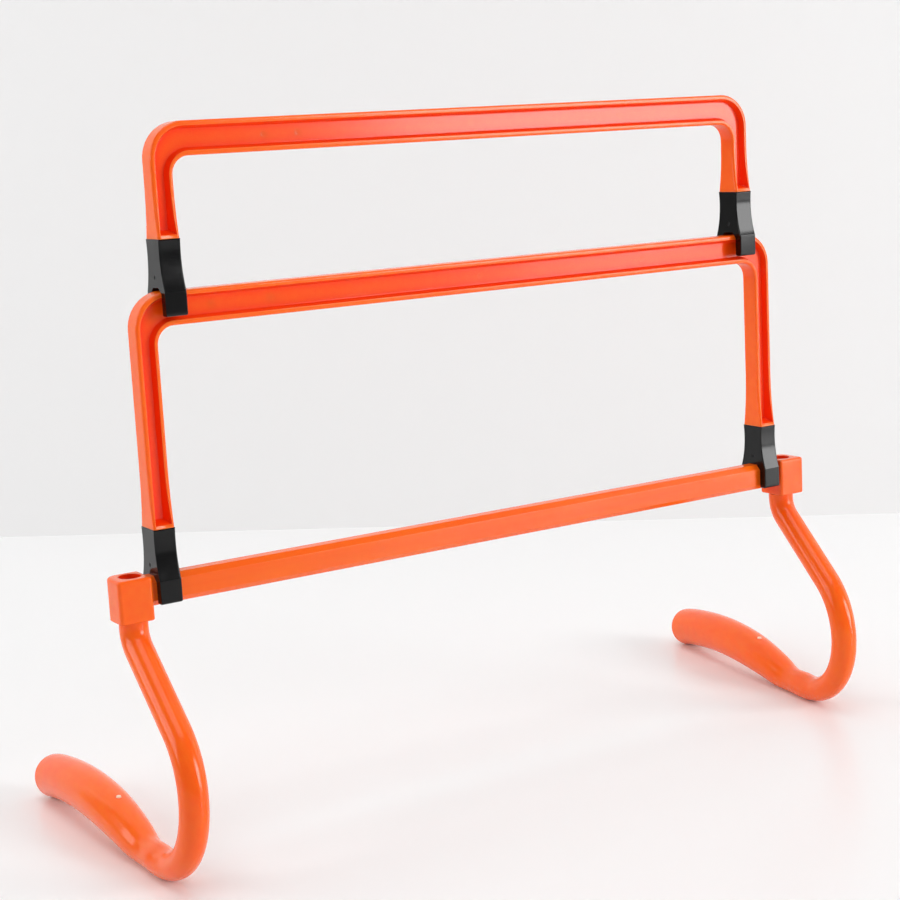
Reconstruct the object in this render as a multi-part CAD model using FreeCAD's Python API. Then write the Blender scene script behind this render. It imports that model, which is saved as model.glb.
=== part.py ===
import FreeCAD, Part
import math
import os

V = FreeCAD.Vector
X_AXIS = V(1, 0, 0)
Y_AXIS = V(0, 1, 0)
Z_AXIS = V(0, 0, 1)

# A training hurdle, in millimetres: +X along the bars, +Y to the rear (the way the toes point), +Z up.
# A hollow crossbar stands on two swivelling legs. A tall frame clips onto the crossbar, and a short frame
# clips onto the tall one.

# Crossbar: a hollow extrusion with bevelled long edges
BAR_LEN = 409.8
BAR_D = 11.6
BAR_H = 14.8
BAR_BEVEL = 2.7
BAR_WALL = 2.0
BAR_Z = 139.2

# End blocks
BLOCK_W = 18.2
BLOCK_D = 18.8
BLOCK_ABOVE = 8.4
BLOCK_BELOW = 13.4
BLOCK_FRONT_R = 1.8
BLOCK_OUTER_R = 6.0
BLOCK_INNER_R = 2.0
BLOCK_TOP_R = 1.5
BLOCK_LOW_R = 0.8
BLOCK_BACK = 0.8
TONGUE_LEN = 20.0

# Leg pivot: spigot, screw and washer
PIVOT_IN = 1.0
SPIGOT_R = 5.5
SCREW_R = 2.0
SCREW_HEAD_R = 4.0
SCREW_HEAD_H = 2.6
SCREW_REACH = 9.0
SCREW_ROUND = 0.9
DRIVE_LEN = 4.4
DRIVE_W = 0.9
DRIVE_DEPTH = 1.2
WASHER_R = 5.0
WASHER_T = 1.0
LEDGE_T = 2.6
CBORE_DEPTH = 8.2

# Leg: a round tube that splays out a little, slopes forward, bends back under itself and swells into a toe
TUBE_R = 7.3
TOE_R = 12.1
TOE_CAP = 6.5
TOE_ROUND = 4.5
NECK_RUN = 1.8
SPLAY_DEG = 1.58
SPLAY_R = 40.0
KNEE_R = 14.0
SLOPE_DEG = 52.2
HEEL_R = 40.6
FLAT_RUN = 17.7
RISE_DEG = 13.6
RISE_RUN = 5.0
ARCH_R = 263.0
TOE_RUN = 2.0
SWELL_LEAD_DEG = 14.0
HEEL_SWELL = 0.4
REST_CUT = 0.4
NUB_R = 1.2
NUB_H = 0.5
NUB_BACK = 57.0
LEFT_TURN_DEG = -0.3
RIGHT_TURN_DEG = 10.1

# The swell: distance behind the heel's flat run, and its share of the way from tube to toe radius
SWELL = [(11.0, 0.38), (21.0, 0.56), (32.0, 0.71), (44.0, 0.83), (58.0, 0.91), (72.0, 0.95), (88.0, 0.97)]

# Frames
MID_RISE = 137.6
TOP_RISE = 80.9
CLIP_IN = 8.6
FRAME_STEP = 14.5
FRAME_H = 16.8
FRAME_D = 11.0
UPRIGHT_W = 11.2
CORNER_R = 18.0
INNER_R = 9.0
EDGE_R = 1.2
BAR_LIP = 2.4
SIDE_LIP = 2.1
FOOT_LIP = 2.6
WEB_T = 4.0
DRAFT = 0.42
MID_FLARE = 30.0
TOP_FLARE = 26.0

# Clips
CLIP_W = 11.4
JAW_T = 4.5
JAW_DROP = 13.75
CLIP_RISE = 23.4
RIM_D = 15.6
RIM_BEVEL = 0.5
WAIST_IN = 0.4
WAIST_DOWN = 6.8
SHOULDER_DOWN = 1.9
JAW_ROUND = 1.4
JAW_LEAD = 0.8
CLIP_EDGE_R = 0.5
TENON_X = 5.6
TENON_Y = 7.6
SOCKET_FLOOR = 2.4
PIN_R = 1.0
PIN_UP = 5.0
PIN_INSET = 0.2

# Clearances
JAW_CLEAR = 0.3
SEAT_CLEAR = 0.02
RUN_CLEAR = 0.05
SHOULDER_CLEAR = 0.3
CBORE_CLEAR = 0.75
LEDGE_CLEAR = 0.2
TONGUE_CLEAR = 0.1
TENON_CLEAR = 0.1
PIN_CLEAR = 0.03

# What follows from them
SLOPE = math.radians(SLOPE_DEG)
RISE = math.radians(RISE_DEG)
SPLAY = math.radians(SPLAY_DEG)
PIVOT_X = BAR_LEN / 2 + BLOCK_W / 2 - PIVOT_IN
MID_HALF = BAR_LEN / 2 - CLIP_IN
TOP_HALF = MID_HALF - FRAME_STEP
BLOCK_Z0 = BAR_Z - BLOCK_BELOW
BLOCK_Z1 = BAR_Z + BLOCK_ABOVE
LEDGE_Z1 = BLOCK_Z1 - CBORE_DEPTH
LEDGE_Z0 = LEDGE_Z1 - LEDGE_T
SHOULDER_Z = BLOCK_Z0 - SHOULDER_CLEAR
KNEE_TOP = SHOULDER_Z - NECK_RUN
KNEE_TANGENT = KNEE_R * math.tan(SLOPE / 2)
KNEE_Z = KNEE_TOP - KNEE_TANGENT
# The leg below the neck is built in one upright plane and then splayed. The floor's height in that plane:
FLOOR_Z = KNEE_TOP - (KNEE_TOP - SPLAY_R * math.sin(SPLAY)) / math.cos(SPLAY)
SLOT = BAR_D + 2 * JAW_CLEAR
SLOT_BEVEL = BAR_BEVEL + JAW_CLEAR
CLIP_D = SLOT + 2 * JAW_T
LOWER_ROOF_Z = BAR_Z + BAR_H / 2
MID_TOP_Z = BAR_Z + MID_RISE + FRAME_H / 2
TOP_TOP_Z = MID_TOP_Z + TOP_RISE
# The slot's bevels match the crossbar. They rest on the mid bar's rounded edges before the roof does.
ROUND_REACH = FRAME_D / 2 - (2 - math.sqrt(2)) * EDGE_R
UPPER_ROOF_Z = MID_TOP_Z + ROUND_REACH - (SLOT / 2 - SLOT_BEVEL) + SEAT_CLEAR
LOWER_TOP_Z = LOWER_ROOF_Z + CLIP_RISE
UPPER_TOP_Z = UPPER_ROOF_Z + CLIP_RISE


def face_of(edges):
    """A flat face bounded by edges that join end to end."""
    return Part.Face(Part.Wire(edges))


def polygon_face(points):
    """A flat face with straight sides."""
    return Part.Face(Part.makePolygon(points + [points[0]]))


def box_about(size_x, size_y, z0, z1):
    """An upright box centred on the Z axis."""
    return Part.makeBox(size_x, size_y, z1 - z0, V(-size_x / 2, -size_y / 2, z0))


def disc(radius, z0, z1):
    """An upright cylinder on the Z axis."""
    return Part.makeCylinder(radius, z1 - z0, V(0, 0, z0), Z_AXIS)


def bevelled_bar(depth, height, bevel, x0, x1):
    """A bar along X, centred on the crossbar's line, with its four long edges bevelled."""
    y = depth / 2
    z = height / 2
    corners = [(-y, -z + bevel), (-y + bevel, -z), (y - bevel, -z), (y, -z + bevel),
               (y, z - bevel), (y - bevel, z), (-y + bevel, z), (-y, z - bevel)]
    face = polygon_face([V(x0, cy, BAR_Z + cz) for cy, cz in corners])
    return face.extrude(V(x1 - x0, 0, 0))


INNER_D = BAR_D - 2 * BAR_WALL
INNER_H = BAR_H - 2 * BAR_WALL
INNER_BEVEL = BAR_BEVEL - (2 - math.sqrt(2)) * BAR_WALL


def make_crossbar():
    """The hollow crossbar, open at both ends."""
    half = BAR_LEN / 2
    outside = bevelled_bar(BAR_D, BAR_H, BAR_BEVEL, -half, half)
    return outside.cut(bevelled_bar(INNER_D, INNER_H, INNER_BEVEL, -half, half))


def make_right_block():
    """The right end block, with its tongue in the crossbar, leg bore below and counterbore above."""
    block = box_about(BLOCK_W, BLOCK_D, BLOCK_Z0, BLOCK_Z1)
    x = BLOCK_W / 2
    y = BLOCK_D / 2
    z = (BLOCK_Z0 + BLOCK_Z1) / 2
    for corner, radius in ((V(-x, -y, z), BLOCK_FRONT_R), (V(x, -y, z), BLOCK_FRONT_R),
                           (V(-x, y, z), BLOCK_INNER_R), (V(x, y, z), BLOCK_OUTER_R)):
        block = block.makeFillet(radius, [e for e in block.Edges if (e.CenterOfMass - corner).Length < 0.001])
    for z, radius in ((BLOCK_Z1, BLOCK_TOP_R), (BLOCK_Z0, BLOCK_LOW_R)):
        block = block.makeFillet(radius, [e for e in block.Edges if abs(e.CenterOfMass.z - z) < 0.001])
    block.translate(V(PIVOT_IN, 0, 0))
    block = block.cut(disc(SPIGOT_R + RUN_CLEAR, BLOCK_Z0, LEDGE_Z0))
    block = block.cut(disc(SCREW_R + LEDGE_CLEAR, LEDGE_Z0, LEDGE_Z1))
    block = block.cut(disc(WASHER_R + CBORE_CLEAR, LEDGE_Z1, BLOCK_Z1))
    block.translate(V(PIVOT_X, BLOCK_BACK, 0))
    tongue = bevelled_bar(INNER_D - 2 * TONGUE_CLEAR, INNER_H - 2 * TONGUE_CLEAR, INNER_BEVEL,
                          BAR_LEN / 2 - TONGUE_LEN, BAR_LEN / 2)
    return block.fuse(tongue).removeSplitter()


def make_screw():
    """The pan-head screw on the Z axis, driven down into the leg's spigot."""
    z0 = LEDGE_Z1 + WASHER_T
    z1 = z0 + SCREW_HEAD_H
    head = disc(SCREW_HEAD_R, z0, z1)
    head = head.makeFillet(SCREW_ROUND, [e for e in head.Edges if abs(e.CenterOfMass.z - z1) < 0.001])
    head = head.cut(box_about(DRIVE_LEN, DRIVE_W, z1 - DRIVE_DEPTH, z1))
    head = head.cut(box_about(DRIVE_W, DRIVE_LEN, z1 - DRIVE_DEPTH, z1))
    return head.fuse(disc(SCREW_R, LEDGE_Z0 - SCREW_REACH, z0)).removeSplitter()


def make_washer():
    """The flat washer on the block's ledge."""
    z1 = LEDGE_Z1 + WASHER_T
    return disc(WASHER_R, LEDGE_Z1, z1).cut(disc(SCREW_R + RUN_CLEAR, LEDGE_Z1, z1))


def heel_centre():
    """Centre of the heel bend in the leg's plane, as (y, z)."""
    z = FLOOR_Z + HEEL_R + TUBE_R + HEEL_SWELL - REST_CUT
    slope_run = (KNEE_Z - HEEL_R * math.sin(SLOPE) - z) / math.cos(SLOPE)
    y = -slope_run * math.sin(SLOPE) + HEEL_R * math.cos(SLOPE)
    return y, z


def toe_dip(arch_top):
    """The angle the toe's end dips at, so that the toe's round end comes down to the floor."""
    low = 0.0
    high = math.radians(60)
    for _ in range(60):
        mid = (low + high) / 2
        end = arch_top - ARCH_R * (1 - math.cos(mid)) - TOE_RUN * math.sin(mid)
        reach = (TOE_R - TOE_ROUND) * math.cos(mid) + TOE_ROUND
        if end - reach > FLOOR_Z - REST_CUT:
            low = mid
        else:
            high = mid
    return (low + high) / 2


def toe_path():
    """The centre line behind the heel's lowest point.

    Returns a function from distance to (y, z, heading), and the line's whole length.
    """
    cy, cz = heel_centre()
    fy = cy + FLAT_RUN
    bend_len = HEEL_R * RISE
    y2 = fy + HEEL_R * math.sin(RISE)
    z2 = cz - HEEL_R * math.cos(RISE)
    y3 = y2 + RISE_RUN * math.cos(RISE)
    z3 = z2 + RISE_RUN * math.sin(RISE)
    ay = y3 + ARCH_R * math.sin(RISE)
    az = z3 - ARCH_R * math.cos(RISE)
    dip = toe_dip(az + ARCH_R)
    arch_len = ARCH_R * (RISE + dip)
    y4 = ay + ARCH_R * math.sin(dip)
    z4 = az + ARCH_R * math.cos(dip)

    def at(d):
        if d < 0:
            turn = d / HEEL_R
            return cy + HEEL_R * math.sin(turn), cz - HEEL_R * math.cos(turn), turn
        if d < FLAT_RUN:
            return cy + d, cz - HEEL_R, 0.0
        d -= FLAT_RUN
        if d < bend_len:
            turn = d / HEEL_R
            return fy + HEEL_R * math.sin(turn), cz - HEEL_R * math.cos(turn), turn
        d -= bend_len
        if d < RISE_RUN:
            return y2 + d * math.cos(RISE), z2 + d * math.sin(RISE), RISE
        d -= RISE_RUN
        if d < arch_len:
            turn = RISE - d / ARCH_R
            return ay - ARCH_R * math.sin(turn), az + ARCH_R * math.cos(turn), turn
        d -= arch_len
        return y4 + d * math.cos(dip), z4 - d * math.sin(dip), -dip

    return at, FLAT_RUN + bend_len + RISE_RUN + arch_len + TOE_RUN


def swell_radius(d, length):
    """Leg radius at a distance behind the heel's lowest point."""
    lead = HEEL_R * math.radians(SWELL_LEAD_DEG)
    grow = TOE_R - TUBE_R
    heel = HEEL_SWELL / grow
    knots = [(-lead, 0.0), (0.0, heel), (FLAT_RUN, heel)]
    knots += [(FLAT_RUN + back, share) for back, share in SWELL] + [(length, 1.0)]
    for (d0, s0), (d1, s1) in zip(knots, knots[1:]):
        if d <= d1:
            return TUBE_R + grow * (s0 + (s1 - s0) * (d - d0) / (d1 - d0))
    return TOE_R


def round_face(y, z, heading, radius):
    """A disc across the leg at (y, z), square to a heading above horizontal."""
    normal = V(0, math.cos(heading), math.sin(heading))
    return Part.Face(Part.Wire(Part.makeCircle(radius, V(0, y, z), normal)))


def toe_cap():
    """The toe's end, flat side down on the origin: a wide dome about the Z axis over a round shoulder."""
    inset = TOE_R - TOE_ROUND
    dome = (inset ** 2 + TOE_CAP ** 2 - TOE_ROUND ** 2) / (2 * (TOE_CAP - TOE_ROUND))
    meet = math.asin(inset / (dome - TOE_ROUND))
    half = (meet + math.pi / 2) / 2

    def shoulder(angle):
        return V(inset + TOE_ROUND * math.sin(angle), 0, TOE_ROUND * math.cos(angle))

    def crown(angle):
        return V(dome * math.sin(angle), 0, TOE_CAP - dome + dome * math.cos(angle))

    face = face_of([
        Part.makeLine(V(0, 0, 0), V(TOE_R, 0, 0)),
        Part.Arc(V(TOE_R, 0, 0), shoulder(half), shoulder(meet)).toShape(),
        Part.Arc(shoulder(meet), crown(meet / 2), V(0, 0, TOE_CAP)).toShape(),
        Part.makeLine(V(0, 0, TOE_CAP), V(0, 0, 0)),
    ])
    return face.revolve(V(0, 0, 0), Z_AXIS, 360)


def make_right_leg():
    """The right leg on the Z axis: it splays to +X, and the toe points along +Y."""
    cy, cz = heel_centre()
    spigot = disc(SPIGOT_R, SHOULDER_Z, LEDGE_Z0)
    neck = disc(TUBE_R, KNEE_TOP, SHOULDER_Z)
    knee_face = round_face(0, KNEE_TOP, -math.pi / 2, TUBE_R)
    splay_centre = V(SPLAY_R, 0, KNEE_TOP)
    splay = knee_face.revolve(splay_centre, Y_AXIS, -SPLAY_DEG)

    knee = knee_face.revolve(V(0, -KNEE_R, KNEE_TOP), X_AXIS, -SLOPE_DEG)
    y0 = -KNEE_TANGENT * math.sin(SLOPE)
    z0 = KNEE_Z - KNEE_TANGENT * math.cos(SLOPE)
    y1 = cy - HEEL_R * math.cos(SLOPE)
    z1 = cz + HEEL_R * math.sin(SLOPE)
    shin_way = V(0, y1 - y0, z1 - z0)
    shin = Part.makeCylinder(TUBE_R, shin_way.Length, V(0, y0, z0), shin_way)
    heel_face = Part.Face(Part.Wire(Part.makeCircle(TUBE_R, V(0, y1, z1), shin_way)))
    heel = heel_face.revolve(V(0, cy, cz), X_AXIS, 90 + SLOPE_DEG - SWELL_LEAD_DEG)

    at, length = toe_path()
    lead = HEEL_R * math.radians(SWELL_LEAD_DEG)
    last = FLAT_RUN + SWELL[-1][0]
    stops = [-lead, -0.75 * lead, -0.5 * lead, 0.0, FLAT_RUN / 2, FLAT_RUN]
    stops += [FLAT_RUN + back for back, _ in SWELL] + [(last + length) / 2, length]
    circles = []
    for d in stops:
        y, z, heading = at(d)
        normal = V(0, math.cos(heading), math.sin(heading))
        circles.append(Part.Wire(Part.makeCircle(swell_radius(d, length), V(0, y, z), normal)))
    swell = Part.makeLoft(circles, True, False)

    y, z, heading = at(length)
    forward = V(0, math.cos(heading), math.sin(heading))
    end = toe_cap()
    end.Placement = FreeCAD.Placement(V(0, y, z), FreeCAD.Rotation(Z_AXIS, forward))

    y, z, heading = at(NUB_BACK)
    crown = swell_radius(NUB_BACK, length)
    up = V(0, -math.sin(heading), math.cos(heading))
    nub = Part.makeCylinder(NUB_R, crown / 2 + NUB_H, V(0, y, z) + up * (crown / 2), up)

    lower = knee.multiFuse([shin, heel, swell, end, nub])
    lower.rotate(splay_centre, Y_AXIS, -SPLAY_DEG)
    leg = neck.multiFuse([spigot, splay, lower]).removeSplitter()
    leg = leg.cut(disc(SCREW_R + RUN_CLEAR, LEDGE_Z0 - SCREW_REACH, LEDGE_Z0))
    under = leg.BoundBox
    floor = Part.makeBox(under.XLength, under.YLength, -under.ZMin, V(under.XMin, under.YMin, under.ZMin))
    return leg.cut(floor)


def u_wire(y, half, z_top, z_foot, bar_in, side_in, foot_in):
    """A closed U across the bars at depth y, its sides moved in from a frame's outline."""
    corner_in = (bar_in + side_in) / 2
    outer = half + UPRIGHT_W / 2 - side_in
    inner = half - UPRIGHT_W / 2 + side_in
    top = z_top - bar_in
    low = z_top - FRAME_H + bar_in
    foot = z_foot + foot_in
    r_out = CORNER_R - corner_in
    r_in = INNER_R + corner_in
    s = math.sqrt(0.5)

    def p(x, z):
        return V(x, y, z)

    def line(a, b):
        return Part.makeLine(p(*a), p(*b))

    def arc(a, m, b):
        return Part.Arc(p(*a), p(*m), p(*b)).toShape()

    def corner(side, edge_x, edge_z, radius):
        return side * (edge_x - radius + radius * s), edge_z - radius + radius * s

    return Part.Wire([
        line((-outer, foot), (-outer, top - r_out)),
        arc((-outer, top - r_out), corner(-1, outer, top, r_out), (-outer + r_out, top)),
        line((-outer + r_out, top), (outer - r_out, top)),
        arc((outer - r_out, top), corner(1, outer, top, r_out), (outer, top - r_out)),
        line((outer, top - r_out), (outer, foot)),
        line((outer, foot), (inner, foot)),
        line((inner, foot), (inner, low - r_in)),
        arc((inner, low - r_in), corner(1, inner, low, r_in), (inner - r_in, low)),
        line((inner - r_in, low), (-inner + r_in, low)),
        arc((-inner + r_in, low), corner(-1, inner, low, r_in), (-inner, low - r_in)),
        line((-inner, low - r_in), (-inner, foot)),
        line((-inner, foot), (-outer, foot)),
    ])


def flare_half(z, z_foot, flare):
    """Half a frame's depth at a height: straight, then curving out to the clip's rim at the foot."""
    out = (RIM_D - FRAME_D) / 2
    up = z_foot + flare - z
    if up <= 0:
        return FRAME_D / 2
    radius = (flare * flare + out * out) / (2 * out)
    return FRAME_D / 2 + radius - math.sqrt(radius * radius - up * up)


def make_frame(half, z_top, z_foot, flare):
    """A U-shaped frame with a channel along its front and rear, and a tenon under each upright."""
    deep = RIM_D / 2 + 1
    body = Part.Face(u_wire(-deep, half, z_top, z_foot, 0, 0, 0)).extrude(V(0, 2 * deep, 0))
    far = 2 * half
    foot_y = RIM_D / 2
    mid_z = z_foot + flare / 2
    mid_y = flare_half(mid_z, z_foot, flare)
    bar_y = FRAME_D / 2
    over = z_top + 1

    def p(y, z):
        return V(-far, y, z)

    side = face_of([
        Part.makeLine(p(-foot_y, z_foot), p(foot_y, z_foot)),
        Part.Arc(p(foot_y, z_foot), p(mid_y, mid_z), p(bar_y, z_foot + flare)).toShape(),
        Part.makeLine(p(bar_y, z_foot + flare), p(bar_y, over)),
        Part.makeLine(p(bar_y, over), p(-bar_y, over)),
        Part.makeLine(p(-bar_y, over), p(-bar_y, z_foot + flare)),
        Part.Arc(p(-bar_y, z_foot + flare), p(-mid_y, mid_z), p(-foot_y, z_foot)).toShape(),
    ])
    body = body.common(side.extrude(V(2 * far, 0, 0)))

    edges = []
    for edge in body.Edges:
        mid = edge.valueAt((edge.FirstParameter + edge.LastParameter) / 2)
        on_skin = abs(abs(mid.y) - flare_half(mid.z, z_foot, flare)) < 0.001
        across = edge.Length < UPRIGHT_W + 0.001 and abs(edge.tangentAt(edge.FirstParameter).x) > 0.999
        if on_skin and not across:
            edges.append(edge)
    body = body.makeFillet(EDGE_R, edges)

    web = WEB_T / 2
    mouth = RIM_D / 2 + 0.5
    for front in (-1, 1):
        wires = []
        for depth in (web, mouth):
            slope = (FRAME_D / 2 - depth) * DRAFT
            wires.append(u_wire(front * depth, half, z_top, z_foot,
                                BAR_LIP + slope, SIDE_LIP + slope, FOOT_LIP + slope))
        body = body.cut(Part.makeLoft(wires, True, True))

    tenon_len = CLIP_RISE - SOCKET_FLOOR - TENON_CLEAR
    tenons = []
    for side_x in (-half, half):
        tenon = box_about(TENON_X, TENON_Y, z_foot - tenon_len, z_foot)
        tenon = tenon.cut(pin_hole(z_foot - CLIP_RISE + PIN_UP))
        tenon.translate(V(side_x, 0, 0))
        tenons.append(tenon)
    return body.multiFuse(tenons).removeSplitter()


def pin_hole(z):
    """The cross hole for a clip's pin."""
    return Part.makeCylinder(PIN_R + PIN_CLEAR, 2 * CLIP_W, V(-CLIP_W, 0, z), X_AXIS)


def make_clip(roof_z):
    """A clip on the Z axis: a socket above for the tenon, two jaws below for the bar."""
    rim = RIM_D / 2
    out = CLIP_D / 2
    slot = SLOT / 2
    roof = slot - SLOT_BEVEL
    top = roof_z + CLIP_RISE
    shoulder = roof_z - SHOULDER_DOWN
    low = roof_z - JAW_DROP
    tip = out - JAW_ROUND
    s = JAW_ROUND * math.sqrt(0.5)
    x0 = -CLIP_W / 2

    def half_edges(side):
        def p(y, z):
            return V(x0, side * y, z)
        collar = p(rim, top - RIM_BEVEL)
        edges = [Part.makeLine(p(0, top), p(rim - RIM_BEVEL, top)), Part.makeLine(p(rim - RIM_BEVEL, top), collar)]
        edges.append(Part.Arc(collar, p(rim - WAIST_IN, top - WAIST_DOWN), p(out, shoulder)).toShape())
        edges.append(Part.makeLine(p(out, shoulder), p(out, low + JAW_ROUND)))
        turn = low + JAW_ROUND
        edges.append(Part.Arc(p(out, turn), p(tip + s, turn - s), p(tip, low)).toShape())
        points = [p(tip, low), p(slot + JAW_LEAD, low), p(slot, low + JAW_LEAD),
                  p(slot, roof_z - SLOT_BEVEL), p(roof, roof_z), p(0, roof_z)]
        return edges + [Part.makeLine(a, b) for a, b in zip(points, points[1:])]

    right = half_edges(1)
    left = half_edges(-1)
    clip = face_of(Part.sortEdges(right + left)[0]).extrude(V(CLIP_W, 0, 0)).removeSplitter()
    rims = [e for e in clip.Edges if abs(abs(e.CenterOfMass.x) - CLIP_W / 2) < 0.001
            and e.BoundBox.ZMax < top - RIM_BEVEL + 0.001]
    outside = [e for e in rims if abs(e.CenterOfMass.y) > slot + JAW_LEAD + 0.01]
    clip = clip.makeFillet(CLIP_EDGE_R, outside)
    socket = box_about(TENON_X + 2 * TENON_CLEAR, TENON_Y + 2 * TENON_CLEAR, roof_z + SOCKET_FLOOR, top)
    return clip.cut(socket).cut(pin_hole(roof_z + PIN_UP))


def make_pin(roof_z):
    """The cross pin through a clip and the tenon in it."""
    length = CLIP_W - 2 * PIN_INSET
    return Part.makeCylinder(PIN_R, length, V(-length / 2, 0, roof_z + PIN_UP), X_AXIS)


def placed(shape, x, y=0.0, turn_deg=0.0):
    """A copy of a shape from the Z axis, turned about it and moved to (x, y)."""
    copy = shape.copy()
    copy.rotate(V(0, 0, 0), Z_AXIS, turn_deg)
    copy.translate(V(x, y, 0))
    return copy


nodes = {"crossbar": make_crossbar()}
right_block = make_right_block()
nodes["right_block"] = right_block
nodes["left_block"] = right_block.mirror(V(0, 0, 0), X_AXIS)
right_leg = make_right_leg()
left_leg = right_leg.mirror(V(0, 0, 0), X_AXIS)
screw = make_screw()
washer = make_washer()
for name, leg, x, turn in (("left", left_leg, -PIVOT_X, LEFT_TURN_DEG),
                           ("right", right_leg, PIVOT_X, -RIGHT_TURN_DEG)):
    nodes[name + "_leg"] = placed(leg, x, BLOCK_BACK, turn)
    nodes[name + "_leg_screw"] = placed(screw, x, BLOCK_BACK, turn)
    nodes[name + "_leg_washer"] = placed(washer, x, BLOCK_BACK, turn)
nodes["mid_frame"] = make_frame(MID_HALF, MID_TOP_Z, LOWER_TOP_Z, MID_FLARE)
nodes["top_frame"] = make_frame(TOP_HALF, TOP_TOP_Z, UPPER_TOP_Z, TOP_FLARE)
for level, roof_z, half in (("lower", LOWER_ROOF_Z, MID_HALF), ("upper", UPPER_ROOF_Z, TOP_HALF)):
    clip = make_clip(roof_z)
    pin = make_pin(roof_z)
    for name, x in (("left", -half), ("right", half)):
        nodes[name + "_" + level + "_clip"] = placed(clip, x)
        nodes[name + "_" + level + "_pin"] = placed(pin, x)

# The origin is on the floor, under the middle of the whole part's box.
box = FreeCAD.BoundBox()
for shape in nodes.values():
    for point in shape.tessellate(0.01)[0]:
        box.add(point)
shift = V(-(box.XMin + box.XMax) / 2, -(box.YMin + box.YMax) / 2, 0)
print("box", box.XLength, box.YLength, box.ZLength, "lowest", box.ZMin, "shift", shift.x, shift.y)

os.makedirs("parts", exist_ok=True)
for name, shape in nodes.items():
    shape.translate(shift)
    print(name, len(shape.Solids), shape.isValid(), round(shape.Volume, 1))
    shape.exportStep("parts/" + name + ".step")
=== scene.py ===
"""Looks of a training hurdle: orange moulded bars and legs, black clips and steel fasteners."""

import logging
import math
from dataclasses import dataclass
from enum import Enum

import bpy
from mathutils import Matrix, Vector


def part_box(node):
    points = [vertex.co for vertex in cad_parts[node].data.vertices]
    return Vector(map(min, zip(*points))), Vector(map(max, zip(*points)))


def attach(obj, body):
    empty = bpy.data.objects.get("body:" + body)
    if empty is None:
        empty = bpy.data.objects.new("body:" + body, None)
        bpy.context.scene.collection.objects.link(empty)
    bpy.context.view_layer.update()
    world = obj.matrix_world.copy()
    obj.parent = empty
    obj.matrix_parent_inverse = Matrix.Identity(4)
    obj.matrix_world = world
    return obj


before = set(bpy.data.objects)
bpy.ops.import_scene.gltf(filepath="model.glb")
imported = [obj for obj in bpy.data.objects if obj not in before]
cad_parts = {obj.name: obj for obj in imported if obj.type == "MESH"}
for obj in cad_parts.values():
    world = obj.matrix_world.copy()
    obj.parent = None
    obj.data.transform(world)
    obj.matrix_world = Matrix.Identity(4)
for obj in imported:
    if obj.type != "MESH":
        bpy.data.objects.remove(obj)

LOG = logging.getLogger("hurdle")
Colour = tuple[float, float, float]
Point = tuple[float, float, float]


class Forming(Enum):
    """How a plastic piece was made, as a stretch of its colour streaks along X, Y and Z."""

    MOULDED = (1.0, 1.0, 1.0)
    EXTRUDED = (0.04, 1.0, 1.0)
    BENT = (1.0, 0.5, 0.5)


class SoftBox(Enum):
    """The outline of a lamp's lit front."""

    OBLONG = "RECTANGLE"
    ROUND = "DISK"


class Tree:
    """Adds and joins the nodes of one shader tree."""

    def __init__(self, tree: bpy.types.NodeTree) -> None:
        """Holds the tree and clears what is in it.

        Args:
            tree: The shader tree to fill.
        """
        self.tree = tree
        tree.nodes.clear()

    def add(self, kind: str, settings: dict | None = None, **inputs: object) -> bpy.types.Node:
        """Adds a node.

        Args:
            kind: The node's type without the leading ShaderNode.
            settings: Properties of the node itself.
            inputs: Values or output sockets for its inputs, with _ for a space, or i and a number by place.

        Returns:
            The new node.
        """
        node = self.tree.nodes.new("ShaderNode" + kind)
        for name, value in (settings or {}).items():
            setattr(node, name, value)
        for name, value in inputs.items():
            key = int(name[1:]) if name[0] == "i" and name[1:].isdigit() else name.replace("_", " ")
            socket = node.inputs[key]
            if isinstance(value, bpy.types.NodeSocket):
                self.tree.links.new(value, socket)
            else:
                socket.default_value = value
        return node

    def maths(self, operation: str, a: object, b: object = 0.0) -> bpy.types.NodeSocket:
        """Works out a sum of two values and holds the result between 0 and 1.

        Args:
            operation: The kind of sum, as the Math node names it.
            a: The first value or socket.
            b: The second value or socket.

        Returns:
            The socket of the result.
        """
        return self.add("Math", {"operation": operation, "use_clamp": True}, i0=a, i1=b).outputs[0]

    def between(self, value: object, low: object, high: object, to_low: object,
                to_high: object) -> bpy.types.NodeSocket:
        """Carries a value over from one range to another and holds it inside.

        Args:
            value: The value or socket to carry over.
            low: The start of its own range.
            high: The end of its own range.
            to_low: What the start becomes.
            to_high: What the end becomes.

        Returns:
            The socket of the result.
        """
        node = self.add("MapRange", {"clamp": True}, Value=value, From_Min=low, From_Max=high, To_Min=to_low,
                        To_Max=to_high)
        return node.outputs[0]

    def mix(self, share: object, a: object, b: object) -> bpy.types.NodeSocket:
        """Mixes two colours.

        Args:
            share: The second colour's share, from 0 to 1.
            a: The first colour or socket.
            b: The second colour or socket.

        Returns:
            The socket of the mixed colour.
        """
        node = self.add("Mix", {"data_type": "RGBA"}, i0=share, i6=a, i7=b)
        return node.outputs[2]


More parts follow.
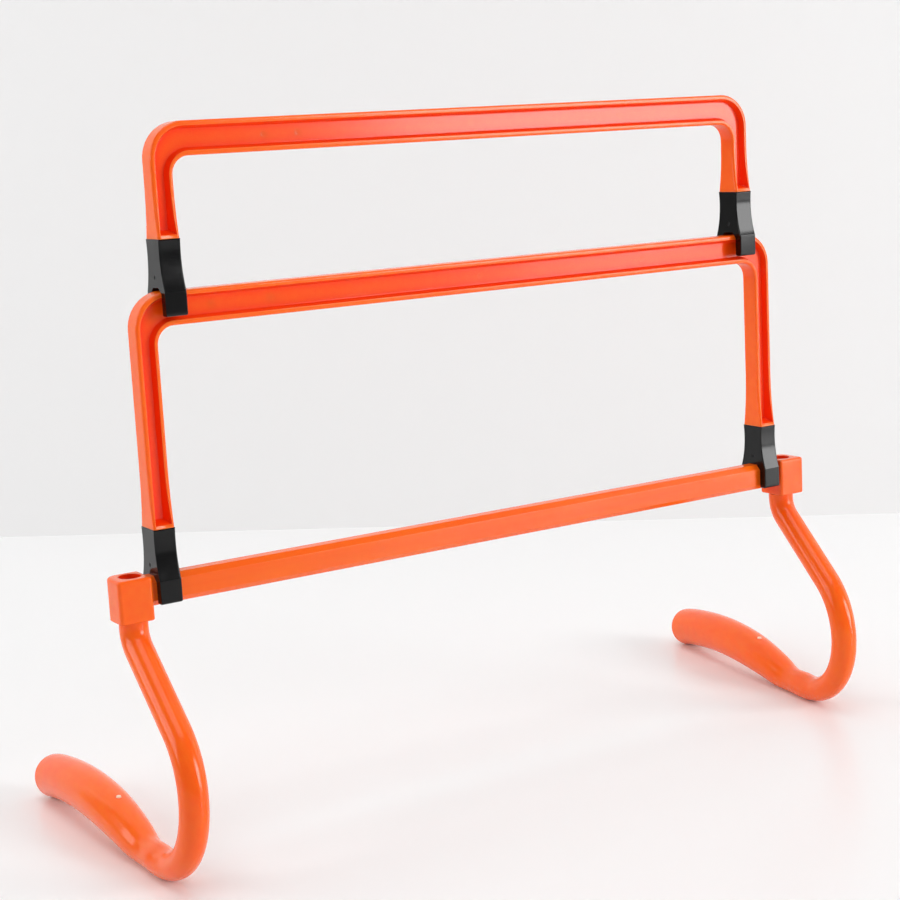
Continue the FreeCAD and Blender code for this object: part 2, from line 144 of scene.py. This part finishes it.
class Effects:
    """Shader groups that more than one finish uses."""

    @staticmethod
    def start(name: str, inputs: dict[str, float], outputs: dict[str, str]) -> tuple[bpy.types.NodeTree, Tree]:
        """Makes an empty group with its sockets.

        Args:
            name: The group's name.
            inputs: Its number inputs and their usual values.
            outputs: Its outputs and their kinds, Float or Vector.

        Returns:
            The group and the helper that fills it.
        """
        group = bpy.data.node_groups.new(name, "ShaderNodeTree")
        for label, value in inputs.items():
            socket = group.interface.new_socket(label, in_out="INPUT", socket_type="NodeSocketFloat")
            socket.default_value = value
        for label, kind in outputs.items():
            group.interface.new_socket(label, in_out="OUTPUT", socket_type="NodeSocket" + kind)
        return group, Tree(group)

    @staticmethod
    def finish(tree: Tree, **outputs: bpy.types.NodeSocket) -> None:
        """Joins results to the group's outputs.

        Args:
            tree: The helper that filled the group.
            outputs: The sockets of the results, by the names of the outputs.
        """
        end = tree.tree.nodes.new("NodeGroupOutput")
        for label, socket in outputs.items():
            tree.tree.links.new(socket, end.inputs[label])

    @classmethod
    def flow(cls) -> bpy.types.NodeTree:
        """Returns the slow change of tone and the fine surface texture that a melt leaves as it sets."""
        group, tree = cls.start("melt_flow", {"Along X": 1.0, "Along Y": 1.0, "Along Z": 1.0},
                                {"Tone": "Float", "Streak": "Float", "Skin": "Float"})
        given = tree.tree.nodes.new("NodeGroupInput").outputs
        place = tree.add("TexCoord").outputs["Object"]
        stretch = tree.add("CombineXYZ", X=given["Along X"], Y=given["Along Y"], Z=given["Along Z"]).outputs[0]
        drawn = tree.add("VectorMath", {"operation": "MULTIPLY"}, i0=place, i1=stretch).outputs[0]
        tone = tree.add("TexNoise", Vector=place, Scale=11.0, Detail=3.0, Roughness=0.5).outputs["Fac"]
        streak = tree.add("TexNoise", Vector=drawn, Scale=260.0, Detail=2.0, Roughness=0.55).outputs["Fac"]
        skin = tree.add("TexNoise", Vector=place, Scale=1500.0, Detail=2.0, Roughness=0.6).outputs["Fac"]
        cls.finish(tree, Tone=tree.between(tone, 0.3, 0.7, 0.0, 1.0), Streak=tree.between(streak, 0.3, 0.7, 0.0, 1.0),
                   Skin=skin)
        return group

    @classmethod
    def edges(cls) -> bpy.types.NodeTree:
        """Returns softened normals, an outer edge mask and a shade mask of what lies deep in a channel or hole."""
        group, tree = cls.start("soft_edges", {"Radius": 0.0005},
                                {"Normal": "Vector", "Edge": "Float", "Pocket": "Float"})
        given = tree.tree.nodes.new("NodeGroupInput").outputs
        soft = tree.add("Bevel", {"samples": 6}, Radius=given["Radius"]).outputs[0]
        true = tree.add("NewGeometry").outputs["Normal"]
        same = tree.add("VectorMath", {"operation": "DOT_PRODUCT"}, i0=soft, i1=true).outputs["Value"]
        open_sky = tree.add("AmbientOcclusion", {"samples": 6, "only_local": True}, Distance=0.012).outputs["AO"]
        pocket_shade = tree.between(open_sky, 0.98, 0.76, 0.0, 1.0)
        turned = tree.between(same, 0.995, 0.88, 0.0, 1.0)
        edge = tree.maths("MULTIPLY", turned, tree.maths("SUBTRACT", 1.0, pocket_shade))
        cls.finish(tree, Normal=soft, Edge=edge, Pocket=pocket_shade)
        return group

    @classmethod
    def marks(cls) -> bpy.types.NodeTree:
        """Returns a mask of fine hair scratches and rubbed patches from handling."""
        group, tree = cls.start("handling_marks", {"Amount": 0.5}, {"Scratch": "Float", "Rub": "Float"})
        given = tree.tree.nodes.new("NodeGroupInput").outputs
        place = tree.add("TexCoord").outputs["Object"]
        lines = []
        for turn in (0.4, 1.9):
            turned = tree.add("Mapping", Vector=place, Rotation=(turn, turn * 0.7, turn * 1.3),
                              Scale=(14.0, 420.0, 420.0)).outputs[0]
            lines.append(tree.add("TexNoise", Vector=turned, Scale=1.0, Detail=1.0).outputs["Fac"])
        line = tree.maths("MAXIMUM", lines[0], lines[1])
        patch = tree.add("TexNoise", Vector=place, Scale=42.0, Detail=4.0, Roughness=0.65).outputs["Fac"]
        patch = tree.between(patch, 0.48, 0.7, 0.0, 1.0)
        scratch = tree.maths("MULTIPLY", tree.between(line, 0.70, 0.74, 0.0, 1.0), patch)
        cls.finish(tree, Scratch=tree.maths("MULTIPLY", scratch, given["Amount"]),
                   Rub=tree.maths("MULTIPLY", patch, given["Amount"]))
        return group

    @classmethod
    def dust(cls) -> bpy.types.NodeTree:
        """Returns a mask of the dust that a piece picks up near the floor."""
        group, tree = cls.start("floor_dust", {"Height": 0.012}, {"Dust": "Float"})
        given = tree.tree.nodes.new("NodeGroupInput").outputs
        place = tree.add("TexCoord").outputs["Object"]
        height = tree.add("SeparateXYZ", Vector=place).outputs["Z"]
        low = tree.between(height, 0.0, given["Height"], 1.0, 0.0)
        speck = tree.add("TexNoise", Vector=place, Scale=700.0, Detail=3.0).outputs["Fac"]
        cls.finish(tree, Dust=tree.maths("MULTIPLY", low, tree.between(speck, 0.45, 0.65, 0.0, 1.0)))
        return group


@dataclass(frozen=True)
class OrangePlastic:
    """Glossy orange plastic, with painted shade in its channels, a painted highlight along its narrow edges and a
    small white spot round one given point.
    """

    groups: dict[str, bpy.types.NodeTree]
    forming: Forming
    deep: Colour = (0.97, 0.102, 0.003)
    light: Colour = (1.0, 0.152, 0.005)
    # Paler orange, used both for the painted highlight and glow along the edges and for the colour of real scratches.
    highlight_and_scratch: Colour = (1.0, 0.24, 0.06)
    # Painted shade: the deep red for the insides of channels and holes.
    painted_pocket_shade: Colour = (0.92, 0.030, 0.002)
    dusty: Colour = (0.62, 0.42, 0.34)
    smooth: float = 0.16
    rubbed: float = 0.3
    edge_radius: float = 0.0005
    streak_share: float = 0.35
    # Share of the painted shade in channels and holes.
    pocket_shade_share: float = 0.9
    # Share of the painted highlight along the edges.
    edge_share: float = 0.7
    scratch_share: float = 0.25
    dust_share: float = 0.35
    wear: float = 0.55
    rub_matt: float = 0.35
    dust_matt: float = 0.8
    dust_height: float = 0.009
    relief_streak: float = 0.4
    relief: float = 0.12
    relief_depth: float = 0.00006
    index: float = 1.40
    glow: float = 0.3
    glow_reach: Colour = (1.0, 0.2, 0.05)
    glow_depth: float = 0.004
    # Centre, radius and colour of a small white spot mixed into the colour.
    spot_point: Point | None = None
    spot_radius: float = 0.0013
    spot_white: Colour = (1.0, 0.66, 0.50)

    def material(self) -> bpy.types.Material:
        """Returns the finish as a material."""
        made = bpy.data.materials.new("orange_" + self.forming.name.lower())
        made.use_nodes = True
        tree = Tree(made.node_tree)
        along = self.forming.value
        flow = tree.add("Group", {"node_tree": self.groups["flow"]}, Along_X=along[0], Along_Y=along[1],
                        Along_Z=along[2]).outputs
        edges = tree.add("Group", {"node_tree": self.groups["edges"]}, Radius=self.edge_radius).outputs
        marks = tree.add("Group", {"node_tree": self.groups["marks"]}, Amount=self.wear).outputs
        dust = tree.add("Group", {"node_tree": self.groups["dust"]}, Height=self.dust_height).outputs["Dust"]
        tone = tree.add("Mix", {"data_type": "FLOAT"}, i0=self.streak_share, i2=flow["Tone"],
                        i3=flow["Streak"]).outputs[0]
        colour = tree.mix(tone, (*self.deep, 1.0), (*self.light, 1.0))
        # Painted shade: deep red mixed in where the shade mask finds a channel or hole.
        colour = tree.mix(tree.maths("MULTIPLY", edges["Pocket"], self.pocket_shade_share), colour, (*self.painted_pocket_shade, 1.0))
        # Painted highlight: paler orange along the outer edges, for light caught by the rounded lips and shining
        # through the narrow plastic.
        colour = tree.mix(tree.maths("MULTIPLY", edges["Edge"], self.edge_share), colour, (*self.highlight_and_scratch, 1.0))
        colour = tree.mix(tree.maths("MULTIPLY", marks["Scratch"], self.scratch_share), colour, (*self.highlight_and_scratch, 1.0))
        colour = tree.mix(tree.maths("MULTIPLY", dust, self.dust_share), colour, (*self.dusty, 1.0))
        # A small white spot mixed in round the given point.
        if self.spot_point:
            place = tree.add("TexCoord").outputs["Object"]
            away = tree.add("VectorMath", {"operation": "DISTANCE"}, i0=place, i1=self.spot_point).outputs["Value"]
            cut = tree.between(away, 1.25 * self.spot_radius, self.spot_radius, 0.0, 1.0)
            colour = tree.mix(cut, colour, (*self.spot_white, 1.0))
        worn = tree.maths("MAXIMUM", tree.maths("MULTIPLY", marks["Rub"], self.rub_matt), marks["Scratch"])
        worn = tree.maths("MAXIMUM", worn, tree.maths("MULTIPLY", dust, self.dust_matt))
        rough = tree.between(worn, 0.0, 1.0, self.smooth, self.rubbed)
        height = tree.add("Mix", {"data_type": "FLOAT"}, i0=self.relief_streak, i2=flow["Skin"],
                          i3=flow["Streak"]).outputs[0]
        height = tree.add("Math", {"operation": "SUBTRACT"}, i0=height, i1=marks["Scratch"]).outputs[0]
        bump = tree.add("Bump", Strength=self.relief, Distance=self.relief_depth, Height=height,
                        Normal=edges["Normal"]).outputs[0]
        shader = tree.add("BsdfPrincipled", Base_Color=colour, Roughness=rough, Normal=bump)
        shader.inputs["IOR"].default_value = self.index
        shader.inputs["Subsurface Weight"].default_value = self.glow
        shader.inputs["Subsurface Radius"].default_value = self.glow_reach
        shader.inputs["Subsurface Scale"].default_value = self.glow_depth
        tree.add("OutputMaterial", Surface=shader.outputs[0])
        return made


@dataclass(frozen=True)
class BlackPlastic:
    """Satin black plastic with a fine spark-eroded grain and greyed edges."""

    groups: dict[str, bpy.types.NodeTree]
    dark: Colour = (0.0012, 0.0012, 0.0013)
    grey: Colour = (0.0026, 0.0026, 0.0029)
    edge: Colour = (0.007, 0.007, 0.0075)
    smooth: float = 0.09
    rubbed: float = 0.17
    edge_radius: float = 0.0005
    edge_share: float = 0.5
    wear: float = 0.8
    relief: float = 0.2
    relief_depth: float = 0.00006
    index: float = 1.36

    def material(self) -> bpy.types.Material:
        """Returns the finish as a material."""
        made = bpy.data.materials.new("black_clip")
        made.use_nodes = True
        tree = Tree(made.node_tree)
        flow = tree.add("Group", {"node_tree": self.groups["flow"]}).outputs
        edges = tree.add("Group", {"node_tree": self.groups["edges"]}, Radius=self.edge_radius).outputs
        marks = tree.add("Group", {"node_tree": self.groups["marks"]}, Amount=self.wear).outputs
        colour = tree.mix(flow["Tone"], (*self.dark, 1.0), (*self.grey, 1.0))
        worn = tree.maths("MAXIMUM", tree.maths("MULTIPLY", edges["Edge"], self.edge_share), marks["Scratch"])
        colour = tree.mix(worn, colour, (*self.edge, 1.0))
        rough = tree.between(marks["Rub"], 0.0, 1.0, self.smooth, self.rubbed)
        bump = tree.add("Bump", Strength=self.relief, Distance=self.relief_depth, Height=flow["Skin"],
                        Normal=edges["Normal"]).outputs[0]
        shader = tree.add("BsdfPrincipled", Base_Color=colour, Roughness=rough, Normal=bump)
        shader.inputs["IOR"].default_value = self.index
        tree.add("OutputMaterial", Surface=shader.outputs[0])
        return made


@dataclass(frozen=True)
class Steel:
    """Small steel hardware, dulled in patches and brighter along its edges."""

    groups: dict[str, bpy.types.NodeTree]
    name: str = "plated_steel"
    bright: Colour = (0.66, 0.66, 0.67)
    dull: Colour = (0.46, 0.46, 0.48)
    edge: Colour = (0.80, 0.80, 0.80)
    smooth: float = 0.24
    rubbed: float = 0.42
    drawn: float = 0.1
    edge_radius: float = 0.0002
    wear: float = 1.0
    relief: float = 0.2
    relief_depth: float = 0.00003

    def material(self) -> bpy.types.Material:
        """Returns the finish as a material."""
        made = bpy.data.materials.new(self.name)
        made.use_nodes = True
        tree = Tree(made.node_tree)
        flow = tree.add("Group", {"node_tree": self.groups["flow"]}, Along_Z=self.drawn).outputs
        edges = tree.add("Group", {"node_tree": self.groups["edges"]}, Radius=self.edge_radius).outputs
        marks = tree.add("Group", {"node_tree": self.groups["marks"]}, Amount=self.wear).outputs
        colour = tree.mix(marks["Rub"], (*self.bright, 1.0), (*self.dull, 1.0))
        colour = tree.mix(edges["Edge"], colour, (*self.edge, 1.0))
        rough = tree.between(flow["Streak"], 0.0, 1.0, self.smooth, self.rubbed)
        bump = tree.add("Bump", Strength=self.relief, Distance=self.relief_depth, Height=flow["Streak"],
                        Normal=edges["Normal"]).outputs[0]
        shader = tree.add("BsdfPrincipled", Base_Color=colour, Roughness=rough, Normal=bump)
        shader.inputs["Metallic"].default_value = 1.0
        tree.add("OutputMaterial", Surface=shader.outputs[0])
        return made


def dress(node: str, finish: bpy.types.Material) -> None:
    """Gives a solid its finish in place of the plain one.

    Args:
        node: The solid's name.
        finish: The material it gets.
    """
    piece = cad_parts[node]
    for place in piece.material_slots:
        place.material = finish
    LOG.info("%s dressed in %s", node, finish.name)


@dataclass
class Base:
    """The crossbar and the two end blocks."""

    bar_finish: bpy.types.Material
    block_finish: bpy.types.Material

    def build(self) -> None:
        """Dresses the solids."""
        dress("crossbar", self.bar_finish)
        for side in ("left", "right"):
            dress(side + "_block", self.block_finish)


@dataclass
class Leg:
    """A bent leg with the screw and washer that hold it in its block, and a cut-off gate on its arch."""

    side: str
    groups: dict[str, bpy.types.NodeTree]
    steel: bpy.types.Material
    gate: Point

    def build(self) -> None:
        """Dresses the solids."""
        dress(self.side + "_leg", OrangePlastic(self.groups, Forming.BENT, spot_point=self.gate).material())
        for piece in ("_leg_screw", "_leg_washer"):
            dress(self.side + piece, self.steel)


@dataclass
class ClipFrame:
    """A U-shaped frame with a clip and a cross pin at each foot, and ejector marks on its web."""

    body: str
    level: str
    finish: bpy.types.Material
    clip: bpy.types.Material
    steel: bpy.types.Material
    mark_finish: bpy.types.Material
    marks: tuple[float, ...]
    bar_height: float = 0.0168
    web: float = 0.004
    mark_sides: int = 40
    mark_radius: float = 0.0018
    mark_proud: float = 0.00005
    mark_rim: float = 0.0004
    mark_dish: float = 0.00002
    smooth_below: float = math.radians(40.0)

    def build(self) -> None:
        """Dresses the solids and adds the marks."""
        dress(self.body, self.finish)
        for side in ("left", "right"):
            dress(side + "_" + self.level + "_clip", self.clip)
            dress(side + "_" + self.level + "_pin", self.steel)
        self.stamp()

    def stamp(self) -> None:
        """Models one ejector pin's mark, a low disc with a dished face, and copies it along the bar."""
        low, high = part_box(self.body)
        face = (low[1] + high[1]) / 2 - self.web / 2
        middle = high[2] - self.bar_height / 2
        bpy.ops.object.select_all(action="DESELECT")
        bpy.ops.mesh.primitive_cylinder_add(vertices=self.mark_sides, radius=self.mark_radius,
                                            depth=4 * self.mark_proud,
                                            location=(self.marks[0], face + self.mark_proud, middle),
                                            rotation=(math.pi / 2, 0.0, 0.0))
        bpy.ops.object.transform_apply(location=True, rotation=True, scale=True)
        first = bpy.context.active_object
        front = min(first.data.polygons, key=lambda side: side.center.y).index
        bpy.ops.object.mode_set(mode="EDIT")
        bpy.ops.mesh.select_all(action="DESELECT")
        bpy.ops.object.mode_set(mode="OBJECT")
        first.data.polygons[front].select = True
        bpy.ops.object.mode_set(mode="EDIT")
        bpy.ops.mesh.select_mode(type="FACE")
        bpy.ops.mesh.inset(thickness=self.mark_rim)
        bpy.ops.mesh.inset(thickness=self.mark_rim)
        bpy.ops.transform.translate(value=(0.0, self.mark_dish, 0.0))
        bpy.ops.object.mode_set(mode="OBJECT")
        bpy.ops.object.shade_smooth_by_angle(angle=self.smooth_below)
        for number, x in enumerate(self.marks):
            mark = first
            if number:
                mark = bpy.data.objects.new("mark", first.data.copy())
                bpy.context.scene.collection.objects.link(mark)
                mark.data.transform(Matrix.Translation((x - self.marks[0], 0.0, 0.0)))
            mark.name = f"{self.body}_ejector_mark_{number + 1}"
            mark.data.materials.clear()
            mark.data.materials.append(self.mark_finish)
            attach(mark, self.body)
            LOG.info("%s stamped", mark.name)


@dataclass(frozen=True)
class Lamp:
    """A soft box: the outline of its front, its middle, the point it faces, its width and height, and its power."""

    name: str
    outline: SoftBox
    place: Point
    aim: Point
    size: tuple[float, float]
    watts: float

    def hang(self) -> None:
        """Hangs the lamp, out of the camera's sight."""
        bpy.ops.object.light_add(type="AREA", location=self.place)
        lamp = bpy.context.active_object
        lamp.name = self.name
        lamp.data.shape = self.outline.value
        lamp.data.size, lamp.data.size_y = self.size
        lamp.data.energy = self.watts
        lamp.visible_camera = False
        lamp.rotation_euler = (Vector(self.aim) - Vector(self.place)).to_track_quat("-Z", "Y").to_euler()
        LOG.info("lamp %s hung", self.name)


@dataclass
class Studio:
    """The floor, the wall behind, the lamps and the camera."""

    eye: Point = (-0.5640845, -0.8742539, 0.35585)
    azimuth: float = -32.12
    elevation: float = 9.77
    roll: float = -3.05
    lens: float = 74.78
    sensor: float = 36.0
    wall_left: tuple[float, float] = (-0.0111, 0.8078)
    wall_right: tuple[float, float] = (0.6280, 0.2837)
    wall_half: float = 2.1
    wall_height: float = 4.0
    wall_white: float = 0.84
    wall_matt: float = 0.6
    floor_size: float = 60.0
    floor_white: float = 0.88
    floor_matt: float = 0.32
    surround: float = 0.32
    lamps: tuple[Lamp, ...] = (
        Lamp("right_box", SoftBox.ROUND, (2.06, -2.467, 1.012), (2.06, 0.0, 1.012), (1.92, 1.92), 85.0),
        Lamp("left_box", SoftBox.OBLONG, (-2.756, 0.915, 1.395), (-0.05, 0.0, 0.15), (2.20, 1.80), 40.0),
        Lamp("top_box", SoftBox.OBLONG, (-0.516, -0.245, 3.115), (-0.516, -0.245, 0.0), (1.80, 2.40), 29.0),
    )

    def along(self) -> Vector:
        """Returns the level direction along the wall, to the camera's right."""
        return (Vector((*self.wall_right, 0.0)) - Vector((*self.wall_left, 0.0))).normalized()

    def middle(self) -> Vector:
        """Returns the middle of the line where wall and floor meet."""
        return (Vector((*self.wall_left, 0.0)) + Vector((*self.wall_right, 0.0))) / 2

    def paint(self, name: str, white: float, rough: float) -> bpy.types.Material:
        """Mixes a plain pale paint that is clear from behind.

        Args:
            name: The paint's name.
            white: How pale it is, from 0 to 1.
            rough: How matt it is.

        Returns:
            The paint as a material.
        """
        made = bpy.data.materials.new(name)
        made.use_nodes = True
        tree = Tree(made.node_tree)
        shader = tree.add("BsdfPrincipled")
        shader.inputs["Base Color"].default_value = (white, white, white, 1.0)
        shader.inputs["Roughness"].default_value = rough
        clear = tree.add("BsdfTransparent")
        behind = tree.add("NewGeometry").outputs["Backfacing"]
        both = tree.add("MixShader", i0=behind, i1=shader.outputs[0], i2=clear.outputs[0])
        tree.add("OutputMaterial", Surface=both.outputs[0])
        return made

    def build_set(self) -> None:
        """Puts up the floor and the wall."""
        bpy.ops.object.select_all(action="DESELECT")
        bpy.ops.mesh.primitive_plane_add(size=self.floor_size)
        floor = bpy.context.active_object
        floor.name = "floor"
        floor.data.materials.append(self.paint("floor_paint", self.floor_white, self.floor_matt))
        bpy.ops.object.select_all(action="DESELECT")
        bpy.ops.mesh.primitive_plane_add(size=2.0)
        wall = bpy.context.active_object
        wall.name = "wall"
        way, up = self.along(), Vector((0.0, 0.0, 1.0))
        turn = Matrix((way, up, way.cross(up))).transposed().to_4x4()
        half = self.wall_height / 2
        stretch = Matrix.Diagonal((self.wall_half, half, 1.0, 1.0))
        wall.data.transform(Matrix.Translation(self.middle() + up * half) @ turn @ stretch)
        wall.data.materials.append(self.paint("wall_paint", self.wall_white, self.wall_matt))
        LOG.info("floor and wall up")

    def light(self) -> None:
        """Hangs the lamps and sets the even light all around."""
        for lamp in self.lamps:
            lamp.hang()
        world = bpy.data.worlds.new("surround")
        world.use_nodes = True
        tree = Tree(world.node_tree)
        sky = tree.add("Background", Color=(1.0, 1.0, 1.0, 1.0), Strength=self.surround)
        tree.add("OutputWorld", Surface=sky.outputs[0])
        bpy.context.scene.world = world

    def shoot(self) -> None:
        """Places the camera where the photograph was taken from."""
        a, e, r = (math.radians(v) for v in (self.azimuth, self.elevation, self.roll))
        back = Vector((math.sin(a) * math.cos(e), -math.cos(a) * math.cos(e), math.sin(e)))
        right = Vector((math.cos(a), math.sin(a), 0.0))
        up = back.cross(right)
        across = right * math.cos(r) + up * math.sin(r)
        upward = up * math.cos(r) - right * math.sin(r)
        bpy.ops.object.camera_add(location=self.eye)
        camera = bpy.context.active_object
        camera.name = "camera"
        camera.rotation_euler = Matrix((across, upward, back)).transposed().to_euler()
        camera.data.lens = self.lens
        camera.data.sensor_width = self.sensor
        camera.data.sensor_height = self.sensor
        camera.data.clip_start = 0.01
        camera.data.clip_end = 100.0
        bpy.context.scene.camera = camera
        bpy.context.scene.view_settings.view_transform = "Standard"
        LOG.info("camera placed")


def main() -> None:
    """Builds the hurdle's pieces, then the studio."""
    logging.basicConfig(level=logging.INFO, format="%(name)s: %(message)s")
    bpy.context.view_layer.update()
    groups = {"flow": Effects.flow(), "edges": Effects.edges(), "marks": Effects.marks(), "dust": Effects.dust()}
    moulded = OrangePlastic(groups, Forming.MOULDED, edge_radius=0.0008).material()
    # Ejector marks: darker than the plain orange as painted shade, to match the shaded channel they sit in, and a
    # little lighter than that channel as a painted highlight.
    stamped = OrangePlastic(groups, Forming.MOULDED, deep=(0.97, 0.078, 0.003), light=(0.99, 0.105, 0.004),
                            edge_radius=0.00004).material()
    extruded = OrangePlastic(groups, Forming.EXTRUDED).material()
    black = BlackPlastic(groups).material()
    steel = Steel(groups).material()
    blackened = Steel(groups, "blackened_steel", bright=(0.035, 0.035, 0.037), dull=(0.016, 0.016, 0.017),
                      edge=(0.07, 0.07, 0.072)).material()
    Base(extruded, moulded).build()
    Leg("left", groups, steel, gate=(-0.2268, 0.0016, 0.0257)).build()
    Leg("right", groups, steel, gate=(0.2102, 0.0006, 0.0257)).build()
    ClipFrame("mid_frame", "lower", moulded, black, blackened, stamped, marks=(-0.171, -0.138, -0.012, 0.098)).build()
    ClipFrame("top_frame", "upper", moulded, black, blackened, stamped, marks=(-0.136, -0.117, -0.013, 0.086)).build()
    studio = Studio()
    studio.build_set()
    studio.light()
    studio.shoot()


if __name__ == "__main__":
    main()
